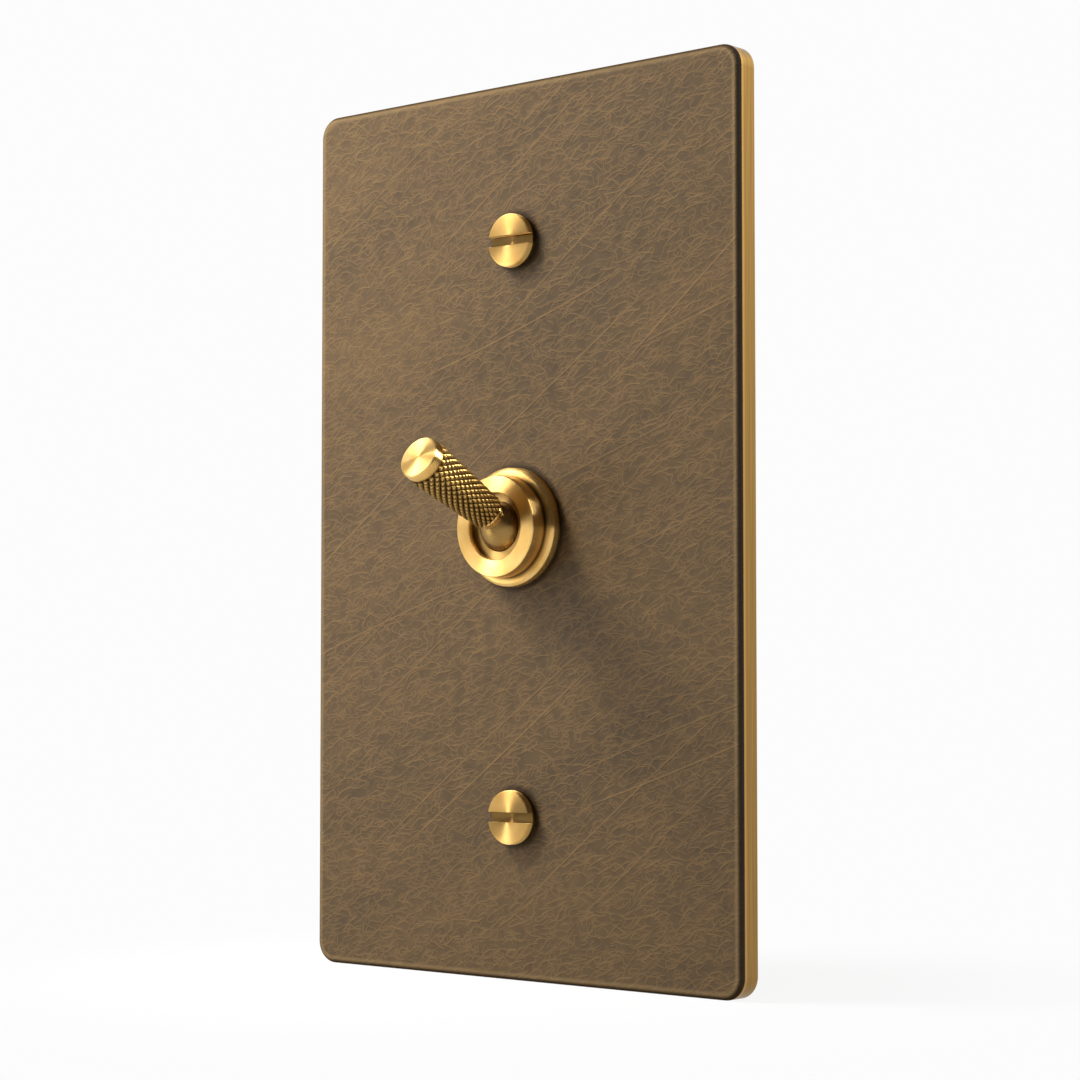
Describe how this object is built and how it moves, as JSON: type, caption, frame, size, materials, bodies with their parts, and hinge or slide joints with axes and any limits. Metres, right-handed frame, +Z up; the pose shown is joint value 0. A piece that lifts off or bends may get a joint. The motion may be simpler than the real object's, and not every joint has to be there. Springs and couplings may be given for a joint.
{
  "type": "brass dolly switch",
  "caption": "Wall light switch with a thick patinated brass plate, slotted screws, a stepped brass collar and a knurled brass dolly that tips a changeover rocker.",
  "frame": {"origin": "centre of the face plate's back, on the plane of the wall", "axes": "+X to the right seen from the front, +Y into the wall, +Z up; the dolly stands out towards -Y"},
  "size_m": [0.08, 0.0473, 0.13],
  "materials": {
    "patinated_brass": "antique patina, hair-scratched",
    "turned_brass": "satin turned",
    "knurled_brass": "satin, diamond knurled",
    "stamped_brass": "stamped",
    "plated_steel": "zinc plated",
    "hard_steel": "ground",
    "copper_sheet": "rolled copper",
    "silver_alloy": "contact alloy",
    "phenolic": "moulded",
    "nylon": "moulded",
    "green_steel": "dyed"
  },
  "bodies": {
    "switch_body": {"face_plate": "patinated_brass", "box_screws": "turned_brass", "dress_nut": "turned_brass", "dress_washer": "turned_brass", "bush": "turned_brass", "pivot_pin": "hard_steel", "lock_washer": "plated_steel", "switch_frame": "plated_steel", "switch_case": "phenolic", "rocker_pin": "hard_steel", "upper_terminal": "stamped_brass", "lower_terminal": "stamped_brass", "fixed_tips": "silver_alloy", "common_terminal": "stamped_brass", "clamp_washers": "plated_steel", "terminal_screws": "stamped_brass", "earth_washer": "stamped_brass", "earth_screw": "green_steel"},
    "dolly": {"dolly_lever": "turned_brass", "dolly_grip": "knurled_brass", "plunger": "hard_steel", "plunger_spring": "hard_steel"},
    "rocker": {"rocker_cradle": "nylon", "moving_contact": "copper_sheet", "moving_tips": "silver_alloy"}
  },
  "joints": [
    {"name": "dolly_tilt", "type": "hinge", "parent": "switch_body", "child": "dolly", "pos_m": [0, -0.0062, 0], "axis": [1, 0, 0], "range_deg": [0, 52]},
    {"name": "rocker_tilt", "type": "hinge", "parent": "switch_body", "child": "rocker", "pos_m": [0, 0.0072, 0], "axis": [1, 0, 0], "range_deg": [-10, 0]}
  ],
  "couplings": [
    {"joint": "rocker_tilt", "follows": "dolly_tilt", "ratio": -0.1923}
  ]
}
